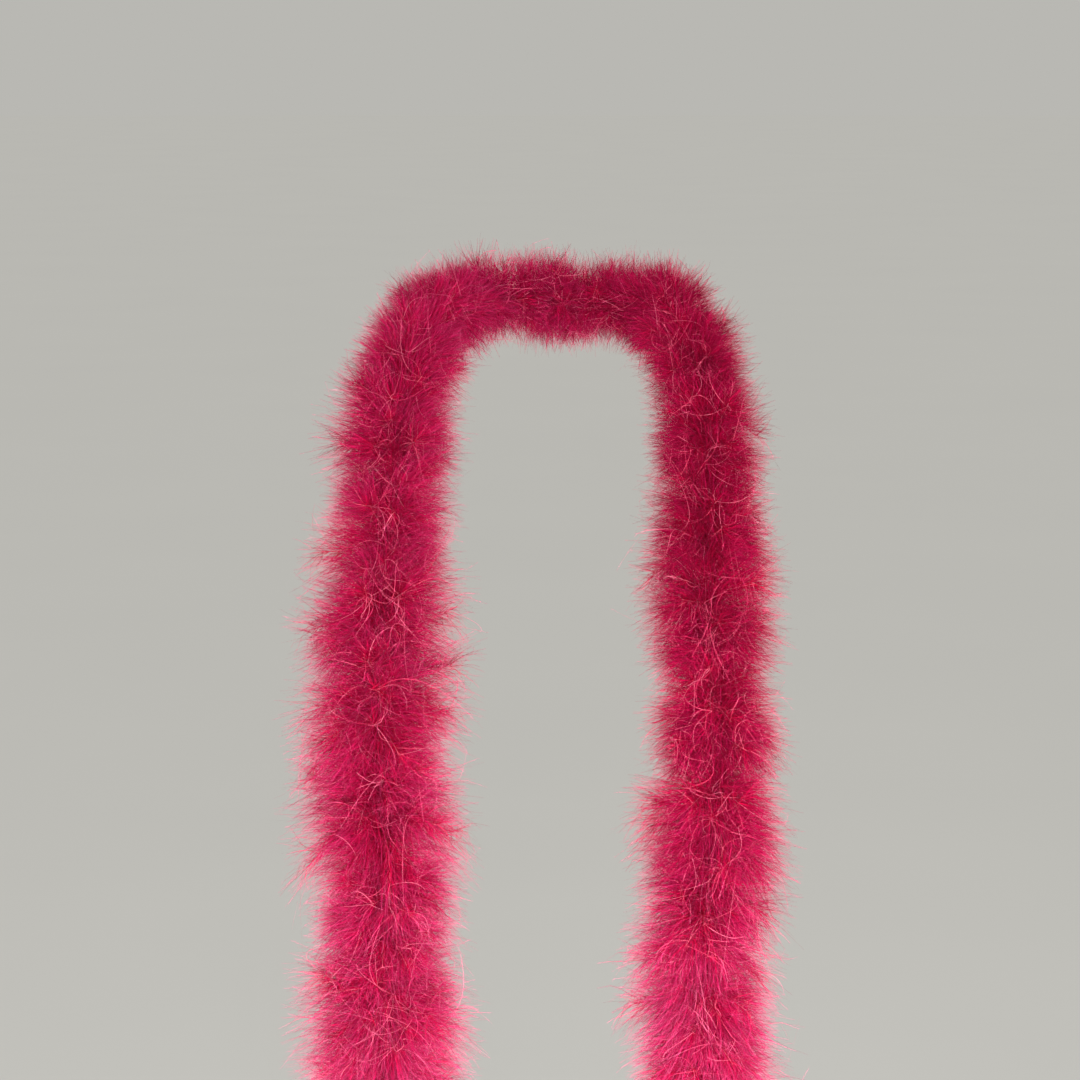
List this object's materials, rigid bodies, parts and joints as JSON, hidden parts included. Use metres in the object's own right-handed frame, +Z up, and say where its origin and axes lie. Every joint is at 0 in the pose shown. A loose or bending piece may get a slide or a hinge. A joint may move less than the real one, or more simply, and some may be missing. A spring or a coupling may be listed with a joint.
{
  "type": "feather boa",
  "caption": "Fluffy marabou feather boa draped round the neck: soft plume ruffs bound along a thin core cord, with two loose ends hanging down the chest.",
  "frame": {"origin": "centre of the wearer's neck, level with the cord at the nape", "axes": "+Z up along the neck, -Y the way the wearer faces, +X the wearer's left"},
  "size_m": [0.3072, 0.3285, 0.7904],
  "materials": {
    "feather_down": "matte",
    "quill": "satin",
    "core_cord": "matte",
    "binding_thread": "matte"
  },
  "bodies": {
    "right_tail_end": {"cord_right_tail_end": "core_cord", "ties_right_tail_end": "binding_thread", "quills_right_tail_end": "quill", "ruff_01": "feather_down", "ruff_02": "feather_down", "knot_right": "core_cord", "whipping_right": "binding_thread"},
    "right_tail_mid": {"cord_right_tail_mid": "core_cord", "ties_right_tail_mid": "binding_thread", "quills_right_tail_mid": "quill", "ruff_03": "feather_down", "ruff_04": "feather_down"},
    "right_tail_top": {"cord_right_tail_top": "core_cord", "ties_right_tail_top": "binding_thread", "quills_right_tail_top": "quill", "ruff_05": "feather_down", "ruff_06": "feather_down"},
    "collar": {"cord_collar": "core_cord", "ties_collar": "binding_thread", "quills_collar": "quill", "ruff_07": "feather_down", "ruff_08": "feather_down", "ruff_09": "feather_down", "ruff_10": "feather_down", "ruff_11": "feather_down", "ruff_12": "feather_down", "ruff_13": "feather_down", "ruff_14": "feather_down", "ruff_15": "feather_down", "ruff_16": "feather_down", "ruff_17": "feather_down", "ruff_18": "feather_down", "ruff_19": "feather_down", "ruff_20": "feather_down", "ruff_21": "feather_down", "ruff_22": "feather_down", "ruff_23": "feather_down", "ruff_24": "feather_down"},
    "left_tail_top": {"cord_left_tail_top": "core_cord", "ties_left_tail_top": "binding_thread", "quills_left_tail_top": "quill", "ruff_25": "feather_down", "ruff_26": "feather_down"},
    "left_tail_mid": {"cord_left_tail_mid": "core_cord", "ties_left_tail_mid": "binding_thread", "quills_left_tail_mid": "quill", "ruff_27": "feather_down", "ruff_28": "feather_down"},
    "left_tail_end": {"cord_left_tail_end": "core_cord", "ties_left_tail_end": "binding_thread", "quills_left_tail_end": "quill", "ruff_29": "feather_down", "ruff_30": "feather_down", "knot_left": "core_cord", "whipping_left": "binding_thread"}
  },
  "joints": [
    {"name": "right_sway", "type": "hinge", "parent": "collar", "child": "right_tail_top", "pos_m": [-0.1035, -0.1691, -0.3808], "axis": [0, 1, 0], "range_deg": [-6, 30]},
    {"name": "right_swing", "type": "hinge", "parent": "right_tail_top", "child": "right_tail_mid", "pos_m": [-0.1067, -0.1728, -0.5026], "axis": [-1, 0, 0], "range_deg": [-8, 35]},
    {"name": "right_curl", "type": "hinge", "parent": "right_tail_mid", "child": "right_tail_end", "pos_m": [-0.1055, -0.1714, -0.6246], "axis": [-1, 0, 0], "range_deg": [-20, 35]},
    {"name": "left_sway", "type": "hinge", "parent": "collar", "child": "left_tail_top", "pos_m": [0.0921, -0.1704, -0.383], "axis": [0, -1, 0], "range_deg": [-6, 30]},
    {"name": "left_swing", "type": "hinge", "parent": "left_tail_top", "child": "left_tail_mid", "pos_m": [0.0948, -0.1733, -0.5049], "axis": [-1, 0, 0], "range_deg": [-8, 35]},
    {"name": "left_curl", "type": "hinge", "parent": "left_tail_mid", "child": "left_tail_end", "pos_m": [0.0973, -0.1717, -0.6269], "axis": [-1, 0, 0], "range_deg": [-20, 35]}
  ]
}
